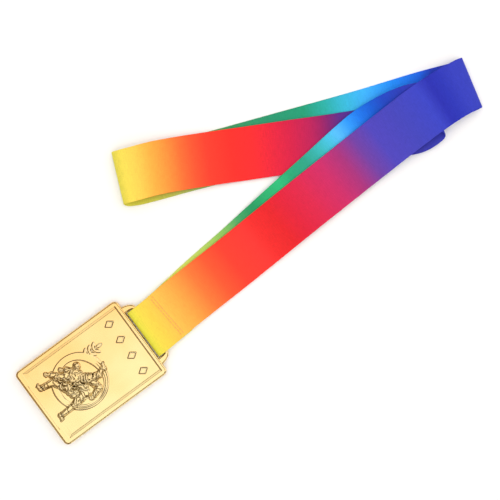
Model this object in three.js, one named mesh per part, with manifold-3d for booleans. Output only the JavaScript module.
// A rectangular cast sports medal on its neck ribbon, lying face up. Millimetres, +Z up.
// The origin is the centre of the medal's flat back. +X is the medal's right, +Y its top.
import * as THREE from "three";
import { mergeVertices } from "three/addons/utils/BufferGeometryUtils.js";
import Module from "manifold-3d";

const wasm = await Module();
wasm.setup();

// Driving dimensions: the medal
const MEDAL_WIDTH = 50;
const MEDAL_HEIGHT = 70;
const MEDAL_THICKNESS = 4.2;
const CORNER_RADIUS = 2.8;
const EDGE_ROUND = 0.7;
const RIM_WIDTH = 2.8;
const PANEL_DEPTH = 1.0;
const COVE_HEIGHT = 4;
const COVE_RISE = 0.7;

// Driving dimensions: the relief, each a height above the sunk panel
const RING_RISE = 0.25;
const FIGURE_RISE = 1.3;
const HEAD_RISE = 1.5;
const STUD_RISE = 0.55;
const SPRIG_RISE = 0.45;
const RELIEF_ROOT = 0.3;

// Driving dimensions: the ribbon and its stitching
const RIBBON_WIDTH = 30;
const RIBBON_THICKNESS = 0.6;
const PLY_GAP = 0.3;
const TABLE_GAP = 0.05;
const THREAD_RADIUS = 0.15;
const THREAD_GAP = 0.12;

// Driving dimensions: the bail, the loop of casting that the ribbon hangs on
const BAR_RADIUS = 1.3;
const BAR_FIT = 0.3;
const SLOT_HEIGHT = 4.4;
const SLOT_SIDE_PLAY = 0.6;
const SHOULDER_WIDTH = 4.1;
const SHOULDER_CURVE = 1.3;
const SHOULDER_ROUND = 0.9;

// Driving dimensions: how far the loose ribbon loop hangs back from the bar to the medal
const LOOP_SLACK = 1.0;
const LOOP_TURN_BACK = 1.8;

// Values that follow
const PANEL_WIDTH = MEDAL_WIDTH - 2 * RIM_WIDTH;
const PANEL_HEIGHT = MEDAL_HEIGHT - 2 * RIM_WIDTH;
const PANEL_TOP = MEDAL_THICKNESS - PANEL_DEPTH;
const LOOP_RADIUS = BAR_RADIUS + BAR_FIT + RIBBON_THICKNESS / 2;
const BAR_Y = MEDAL_HEIGHT / 2 + SLOT_HEIGHT + BAR_RADIUS;
const BAR_Z = TABLE_GAP + RIBBON_THICKNESS / 2 + LOOP_RADIUS;
const SLOT_HALF_WIDTH = RIBBON_WIDTH / 2 + SLOT_SIDE_PLAY;
const SLOT_DEPTH = SLOT_HEIGHT + 3 * BAR_RADIUS;
const ROUTE_Y = BAR_Y - LOOP_SLACK;

const gold = new THREE.MeshStandardMaterial({ color: 0xf0d48c, metalness: 1, roughness: 0.25 });
const thread = new THREE.MeshStandardMaterial({ color: 0xe29a3c, roughness: 0.7 });

const fabric = (color) => new THREE.MeshStandardMaterial({ color, roughness: 0.6 });

// A three.js geometry as a solid that can be joined and cut, and back again.
function solidOf(geometry) {
  const bare = geometry.index ? geometry.toNonIndexed() : geometry.clone();
  bare.deleteAttribute("normal");
  bare.deleteAttribute("uv");
  const merged = mergeVertices(bare, 1e-4);
  return new wasm.Manifold(
    new wasm.Mesh({
      numProp: 3,
      vertProperties: merged.attributes.position.array,
      triVerts: new Uint32Array(merged.index.array),
    }),
  );
}

function geometryOf(solid) {
  const mesh = solid.getMesh();
  const geometry = new THREE.BufferGeometry();
  geometry.setAttribute("position", new THREE.BufferAttribute(mesh.vertProperties, 3));
  geometry.setIndex(new THREE.BufferAttribute(mesh.triVerts, 1));
  geometry.computeVertexNormals();
  return geometry;
}

const join = (solids) => solids.reduce((whole, piece) => whole.add(piece));

function named(name, geometry, material) {
  const mesh = new THREE.Mesh(geometry, material);
  mesh.name = name;
  return mesh;
}

// A flat shape as a prism between two heights.
function prism(shape, low, high, curveSegments = 8) {
  const options = { depth: high - low, bevelEnabled: false, curveSegments };
  return solidOf(new THREE.ExtrudeGeometry(shape, options).translate(0, 0, low));
}

// A strip of relief that stands on the sunk panel, rooted a little below its face.
const relief = (shape, rise, curveSegments) =>
  prism(shape, PANEL_TOP - RELIEF_ROOT, PANEL_TOP + rise, curveSegments);

// The relief is drawn for a panel of this size and follows the real panel.
const DRAWN_PANEL = { width: 44.4, height: 64.4 };
const across = (x) => (x * PANEL_WIDTH) / DRAWN_PANEL.width;
const up = (y) => (y * PANEL_HEIGHT) / DRAWN_PANEL.height;

function roundedRectangle(width, height, radius) {
  const x = width / 2 - radius;
  const y = height / 2 - radius;
  const shape = new THREE.Shape();
  shape.absarc(x, -y, radius, -Math.PI / 2, 0);
  shape.absarc(x, y, radius, 0, Math.PI / 2);
  shape.absarc(-x, y, radius, Math.PI / 2, Math.PI);
  shape.absarc(-x, -y, radius, Math.PI, 1.5 * Math.PI);
  shape.closePath();
  return shape;
}

function medalPlate() {
  const options = {
    depth: MEDAL_THICKNESS - 2 * EDGE_ROUND,
    bevelSize: EDGE_ROUND,
    bevelThickness: EDGE_ROUND,
    bevelOffset: -EDGE_ROUND,
    bevelSegments: 3,
    curveSegments: 6,
  };
  const outline = roundedRectangle(MEDAL_WIDTH, MEDAL_HEIGHT, CORNER_RADIUS);
  return solidOf(new THREE.ExtrudeGeometry(outline, options).translate(0, 0, EDGE_ROUND));
}

function panelRecess() {
  const height = PANEL_DEPTH + 1;
  const box = new THREE.BoxGeometry(PANEL_WIDTH, PANEL_HEIGHT, height);
  return solidOf(box.translate(0, 0, PANEL_TOP + height / 2));
}

// The hollow-curved ground that the figures stand on, along the foot of the panel.
function panelCove() {
  const overlap = 0.4;
  const profile = new THREE.Shape();
  profile.moveTo(-overlap, -RELIEF_ROOT);
  profile.lineTo(COVE_HEIGHT, -RELIEF_ROOT);
  profile.lineTo(COVE_HEIGHT, 0.05);
  profile.quadraticCurveTo(1, 0.05, 0, COVE_RISE);
  profile.lineTo(-overlap, COVE_RISE);
  profile.closePath();
  const length = PANEL_WIDTH + 2 * overlap;
  const options = { depth: length, bevelEnabled: false, curveSegments: 5 };
  const cove = new THREE.ExtrudeGeometry(profile, options);
  cove.rotateX(Math.PI / 2);
  cove.rotateZ(Math.PI / 2);
  return solidOf(cove.translate(-length / 2, -PANEL_HEIGHT / 2, PANEL_TOP));
}

// The outline round two circles: a limb from one end, with its radius, to the other.
function limb([x0, y0, r0], [x1, y1, r1]) {
  const ax = across(x0);
  const ay = up(y0);
  const bx = across(x1);
  const by = up(y1);
  const heading = Math.atan2(by - ay, bx - ax);
  const lean = Math.acos((r0 - r1) / Math.hypot(bx - ax, by - ay));
  const shape = new THREE.Shape();
  shape.absarc(bx, by, r1, heading - lean, heading + lean);
  shape.absarc(ax, ay, r0, heading + lean, heading - lean + 2 * Math.PI);
  shape.closePath();
  return relief(shape, FIGURE_RISE, 4);
}

function head(x, y, radius) {
  const shape = new THREE.Shape();
  shape.absarc(across(x), up(y), radius, 0, 2 * Math.PI);
  return relief(shape, HEAD_RISE, 10);
}

// One wrestler bends forward on one leg and throws the other over the back.
function figures() {
  const thrower = [
    [[9.6, -28.2, 1.1], [8.2, -27.6, 1.3]],
    [[8.6, -27.5, 1.3], [8.7, -19, 2]],
    [[8.7, -19, 2], [6, -10.5, 3]],
    [[-11.6, -28.2, 1.0], [-9.6, -27.2, 1.3]],
    [[-10, -27.2, 1.3], [-6, -19.5, 2]],
    [[-6, -19.5, 2], [4.5, -12, 2.8]],
    [[6, -10.5, 3], [-3.5, -7.5, 3.2]],
    [[-4, -8.5, 2], [-10, -12.5, 1.3]],
  ];
  const thrown = [
    [[1, -2.5, 2.7], [-6.5, -13, 2.6]],
    [[-7, -14, 1.8], [-13.6, -19.6, 1.1]],
    [[1, -2.5, 2.4], [3.6, 2.6, 1.7]],
    [[3.6, 2.6, 1.6], [0.6, 8.4, 1.0]],
    [[1, -2.5, 2.4], [9.2, -0.4, 1.7]],
    [[9.2, -0.4, 1.6], [11.2, -6, 1.0]],
  ];
  const heads = [head(-8, -6.2, 2), head(-9.6, -17.4, 2)];
  return [...thrower, ...thrown].map(([from, to]) => limb(from, to)).concat(heads);
}

function ring() {
  const shape = new THREE.Shape();
  shape.absarc(0, 0, 16.4, 0, 2 * Math.PI);
  const hole = new THREE.Path();
  hole.absarc(0.4, 0.4, 12.4, 0, 2 * Math.PI);
  shape.holes.push(hole);
  return relief(shape, RING_RISE, 24).translate(0, up(-7.5), 0);
}

// A row of four plain diamond studs along the top of the panel.
function studs() {
  const halfWidth = 2.2;
  const halfHeight = 3;
  const diamond = new THREE.Shape();
  diamond.moveTo(halfWidth, 0);
  diamond.lineTo(0, halfHeight);
  diamond.lineTo(-halfWidth, 0);
  diamond.lineTo(0, -halfHeight);
  diamond.closePath();
  const stations = [-16, -5.4, 5.4, 16];
  return stations.map((x) => relief(diamond, STUD_RISE).translate(across(x), up(24.3), 0));
}

// A small upright sprig: a stem with pointed leaves in pairs and one at the tip.
function sprig() {
  const leafLength = 4.4;
  const leafWidth = 1.7;
  const leaf = new THREE.Shape();
  leaf.moveTo(0, 0);
  leaf.quadraticCurveTo(leafLength / 2, leafWidth, leafLength, 0);
  leaf.quadraticCurveTo(leafLength / 2, -leafWidth, 0, 0);
  const foot = new THREE.Vector2(across(-9.8), up(1.4));
  const place = (rise, turn) =>
    relief(leaf, SPRIG_RISE, 4).rotate([0, 0, turn]).translate(foot.x, foot.y + rise, 0);
  const stemLength = 9.6;
  const stemHalf = 0.32;
  const stem = new THREE.Shape();
  stem.moveTo(foot.x - stemHalf, foot.y);
  stem.lineTo(foot.x + stemHalf, foot.y);
  stem.lineTo(foot.x + stemHalf, foot.y + stemLength);
  stem.lineTo(foot.x - stemHalf, foot.y + stemLength);
  stem.closePath();
  const pieces = [relief(stem, SPRIG_RISE), place(stemLength - 0.6, 90)];
  for (const rise of [1.6, 4.4, 7.2]) {
    pieces.push(place(rise, 38), place(rise, 142));
  }
  return pieces;
}

// The bail's outline: rounded shoulders that stand on the medal's top edge.
function bailOutline() {
  const foot = SLOT_HALF_WIDTH + SHOULDER_WIDTH;
  const edge = MEDAL_HEIGHT / 2;
  const root = edge - RIM_WIDTH / 2;
  const crest = BAR_Y + BAR_RADIUS;
  const crestHalf = SLOT_HALF_WIDTH - SHOULDER_CURVE;
  const shape = new THREE.Shape();
  shape.moveTo(foot, root);
  shape.lineTo(foot, edge);
  shape.quadraticCurveTo(foot - SHOULDER_CURVE, crest, crestHalf, crest);
  shape.lineTo(-crestHalf, crest);
  shape.quadraticCurveTo(-foot + SHOULDER_CURVE, crest, -foot, edge);
  shape.lineTo(-foot, root);
  shape.closePath();
  return shape;
}

// Two flat shoulders with the ribbon's slot between them, and the round bar from one to the other.
function bail() {
  const options = {
    depth: 2 * (BAR_RADIUS - SHOULDER_ROUND),
    bevelSize: SHOULDER_ROUND,
    bevelThickness: SHOULDER_ROUND,
    bevelOffset: -SHOULDER_ROUND,
    bevelSegments: 3,
    curveSegments: 8,
  };
  const plate = new THREE.ExtrudeGeometry(bailOutline(), options);
  const shoulders = solidOf(plate.translate(0, 0, BAR_Z - BAR_RADIUS + SHOULDER_ROUND));
  const slot = new THREE.BoxGeometry(2 * SLOT_HALF_WIDTH, SLOT_DEPTH, MEDAL_THICKNESS);
  slot.translate(0, (MEDAL_HEIGHT + SLOT_DEPTH) / 2, MEDAL_THICKNESS / 2);
  const barLength = 2 * SLOT_HALF_WIDTH + SHOULDER_WIDTH / 2;
  const bar = new THREE.CylinderGeometry(BAR_RADIUS, BAR_RADIUS, barLength, 32);
  bar.rotateZ(Math.PI / 2);
  return shoulders.subtract(solidOf(slot)).add(solidOf(bar.translate(0, BAR_Y, BAR_Z)));
}

function medalCasting() {
  const plate = medalPlate().subtract(panelRecess());
  const raised = [panelCove(), ring(), ...figures(), ...studs(), ...sprig()];
  return named("medal_casting", geometryOf(join([plate, bail(), ...raised])), gold);
}

// The ribbon's route, from its sewn-in end to its other end. Each station holds the distance
// right of the medal's middle and beyond the loop's, the ply it is in, its lift above that ply's
// resting height, and the turn of its width direction from +X in degrees.
const FRONT_STATIONS = [
  [-0.2, 4.6, 3, 0.75, 0.2],
  [-0.4, 8, 3, -0.2, 0.6],
  [-0.6, 11, 2, 0.6, 0.9],
  [-1, 16, 2, 0.6, 1.5],
  [-1.4, 22, 2, 0.55, 2],
  [-1.8, 33, 1, 0.3, 2],
  [-2.2, 45, 1, 0.15, 2],
  [-2.7, 60, 1, 0.15, 2.3],
  [-3.4, 75, 1, 0.5, 2.6],
  [-4, 88, 2, 0.4, 2.8],
  [-4.7, 102, 3, 0.15, 2.7],
  [-6, 135, 3, 0.4, 2.2],
  [-6.8, 157, 3, 1.3, 1.9],
  [-7.4, 174, 3, 3.5, 1.5],
  [-7.7, 186, 3, 5.7, 0.5],
  [-7.8, 195, 3, 6.4, -1],
  [-7.6, 204, 3, 5.7, -3],
  [-7.2, 211, 3, 4.4, -6],
  [-6.5, 218, 3, 3.6, -9],
];
const FAR_FOLD_STATIONS = [
  [-5.6, 224.2, 3, 2.7, -12],
  [-4.9, 227.2, 1, 2.2, -14],
  [-5.3, 224.6, 0, 0.85, -16],
  [-6.6, 220, 0, 0.2, -18],
];
const LOWER_STATIONS = [
  [-8.4, 215.4, 0, 0.06, -20],
  [-14, 201, 0, 0, -20.7],
  [-26, 167, 0, 0, -20.7],
  [-41, 127.3, 0, 0, -20.7],
  [-56, 88, 0, 0, -20.7],
  [-64, 67.8, 0, 0, -21],
  [-70.1, 51.8, 0, 0.05, -21.5],
  [-74.1, 42.3, 0, 0.2, -22],
];
const SIDE_FOLD_STATIONS = [
  [-77.1, 37.4, 0, 1, -22.5],
  [-78.7, 36.6, 1, 2, -23],
  [-77.6, 39.4, 1, 4.3, -24],
  [-75.2, 45.4, 1, 5, -25],
];
const UPPER_STATIONS = [
  [-71, 56.4, 1, 4, -26],
  [-65.5, 68.3, 1, 2.5, -27],
  [-56.5, 86, 1, 0.9, -28],
  [-46.8, 104.3, 1, 0.2, -28],
  [-36, 124.8, 1, 0.05, -28],
  [-25, 145.3, 1, 0, -28],
  [-14.6, 165.6, 1, 0, -27],
  [-8.2, 178.6, 1, 0.1, -25],
];
const INNER_FOLD_STATIONS = [
  [-4.1, 186.6, 1, 0.5, -22],
  [-2.7, 193.8, 1, 1.5, -19],
  [-3.6, 200.6, 1, 3.6, -15],
  [-6.8, 200.2, 2, 5.1, -12],
  [-10.6, 193.2, 2, 5.4, -12],
];
const RETURN_STATIONS = [
  [-13.4, 184.6, 2, 4.2, -10],
  [-15.3, 174.4, 2, 2.1, -4],
  [-16.1, 164.4, 2, 0.5, 2],
  [-15.3, 152, 2, 0.1, 5],
  [-13.1, 131.8, 2, 0, 5.6],
  [-10.1, 102, 2, 0, 5.6],
  [-8.6, 88, 1, 0.2, 5.6],
  [-7.3, 76, 0, 0.3, 5.6],
  [-6.3, 66, 0, 0.05, 5.6],
  [-5.1, 51.8, 0, 0, 5.6],
  [-3.6, 36, 0, 0.1, 5],
  [-2.6, 28.5, 0, 0.6, 4],
  [-1.8, 21.5, 1, 0.5, 2],
  [-1.2, 17, 1, 0.6, 1.5],
  [-0.8, 11, 1, 0.6, 0.9],
];

// The loop round the bar: the sewn-in end lies lowest, turns up round the bar and over it.
function barLoopStations() {
  const stations = [
    [-0.9, 19.6, 0, 0.55, 1],
    [-0.5, 11, 0, 0.6, 0.8],
    [-0.2, 5, 0, 0.1, 0.4],
    [0, 1, 0, 0, 0],
  ];
  for (let turn = 0; turn <= 180; turn += 30) {
    const angle = THREE.MathUtils.degToRad(turn);
    const beyond = -LOOP_TURN_BACK - LOOP_RADIUS * Math.sin(angle);
    stations.push([0, beyond, 0, LOOP_RADIUS * (1 - Math.cos(angle)), 0]);
  }
  return stations;
}

// The whole strip: a smooth centre line with a width direction at each point of it.
class RibbonStrip {
  constructor(stations) {
    this.centre = new THREE.CatmullRomCurve3(
      stations.map(([x, beyond, ply, lift]) => {
        const rest = TABLE_GAP + RIBBON_THICKNESS / 2 + ply * (RIBBON_THICKNESS + PLY_GAP);
        return new THREE.Vector3(x, ROUTE_Y + beyond, rest + lift);
      }),
    );
    this.width = new THREE.CatmullRomCurve3(
      stations.map(([, , , , turn]) => {
        const angle = THREE.MathUtils.degToRad(turn);
        return new THREE.Vector3(Math.cos(angle), Math.sin(angle), 0);
      }),
    );
    this.last = stations.length - 1;
  }
}

// One stretch of the strip, from station to station, less half a gap at each inner end.
class RibbonStretch extends THREE.Curve {
  constructor(strip, from, to) {
    super();
    this.strip = strip;
    this.start = from / strip.last;
    this.span = (to - from) / strip.last;
    const length = this.getLength();
    const first = from === 0 ? 0 : this.getUtoTmapping(0, PLY_GAP / 2);
    const last = to === strip.last ? 1 : this.getUtoTmapping(0, length - PLY_GAP / 2);
    this.start += first * this.span;
    this.span *= last - first;
    this.updateArcLengths();
  }

  getPoint(t, target = new THREE.Vector3()) {
    return this.strip.centre.getPoint(this.start + t * this.span, target);
  }

  computeFrenetFrames(segments) {
    const frames = { tangents: [], normals: [], binormals: [] };
    for (let i = 0; i <= segments; i += 1) {
      const t = this.getUtoTmapping(i / segments);
      const tangent = this.getTangent(t);
      const normal = this.strip.width.getPoint(this.start + t * this.span);
      frames.tangents.push(tangent);
      frames.normals.push(normal.normalize());
      frames.binormals.push(new THREE.Vector3().crossVectors(tangent, normal).normalize());
    }
    return frames;
  }
}

function rectangle(width, height) {
  const shape = new THREE.Shape();
  shape.moveTo(-width / 2, -height / 2);
  shape.lineTo(width / 2, -height / 2);
  shape.lineTo(width / 2, height / 2);
  shape.lineTo(-width / 2, height / 2);
  shape.closePath();
  return shape;
}

const RUNS = [
  { name: "ribbon_bar_loop", stations: barLoopStations(), color: 0xe8d84a, step: 1 },
  { name: "ribbon_front_run", stations: FRONT_STATIONS, color: 0xe23a3c, step: 5 },
  { name: "ribbon_far_fold", stations: FAR_FOLD_STATIONS, color: 0x4a4cc8, step: 1.5 },
  { name: "ribbon_lower_run", stations: LOWER_STATIONS, color: 0x2a9ae0, step: 12 },
  { name: "ribbon_side_fold", stations: SIDE_FOLD_STATIONS, color: 0xd8dc50, step: 1.5 },
  { name: "ribbon_upper_run", stations: UPPER_STATIONS, color: 0xff6038, step: 7 },
  { name: "ribbon_inner_fold", stations: INNER_FOLD_STATIONS, color: 0x5a2a90, step: 2 },
  { name: "ribbon_return_run", stations: RETURN_STATIONS, color: 0x2f9fd0, step: 6 },
];

function ribbonRuns() {
  const strip = new RibbonStrip(RUNS.flatMap((run) => run.stations));
  const section = rectangle(RIBBON_WIDTH, RIBBON_THICKNESS);
  let from = 0;
  return RUNS.map((run, index) => {
    const last = index === RUNS.length - 1;
    const to = last ? strip.last : from + run.stations.length;
    const path = new RibbonStretch(strip, from, to);
    const steps = Math.ceil(path.getLength() / run.step);
    const geometry = new THREE.ExtrudeGeometry(section, { steps, extrudePath: path });
    from = to;
    return named(run.name, geometry, fabric(run.color));
  });
}

// The two threads of the seam that closes the loop: out along one row, back along the other.
const SEAM_MIDDLE = { x: -1, beyond: 13.2 };
const SEAM_HALF_LENGTH = 12.6;
const SEAM_ROW_GAP = 1.5;
const SEAM_SLOPE = 0.08;

function seamThread(name, height) {
  const row = SEAM_ROW_GAP / 2;
  const corners = [
    [-SEAM_HALF_LENGTH, row],
    [SEAM_HALF_LENGTH, row],
    [SEAM_HALF_LENGTH, -row],
    [-SEAM_HALF_LENGTH, -row],
  ].map(([along, side]) => {
    const beyond = SEAM_MIDDLE.beyond + side + along * SEAM_SLOPE;
    return new THREE.Vector3(SEAM_MIDDLE.x + along, ROUTE_Y + beyond, height);
  });
  const path = new THREE.CurvePath();
  corners.slice(1).forEach((corner, i) => path.add(new THREE.LineCurve3(corners[i], corner)));
  const section = new THREE.Shape();
  section.absarc(0, 0, THREAD_RADIUS, 0, 2 * Math.PI);
  const options = { steps: 54, curveSegments: 4, extrudePath: path };
  return named(name, new THREE.ExtrudeGeometry(section, options), thread);
}

function seamThreads() {
  const pitch = RIBBON_THICKNESS + PLY_GAP;
  const lift = 0.6;
  const clear = RIBBON_THICKNESS / 2 + THREAD_GAP + THREAD_RADIUS;
  const lowest = TABLE_GAP + RIBBON_THICKNESS / 2 + lift;
  return [
    seamThread("needle_thread", lowest + 2 * pitch + clear),
    seamThread("bobbin_thread", lowest - clear),
  ];
}

const medal = new THREE.Group();
medal.add(medalCasting());

const ribbon = new THREE.Group();
ribbon.add(...ribbonRuns(), ...seamThreads());

const neckMedal = new THREE.Group();
neckMedal.add(medal, ribbon);

export default neckMedal;
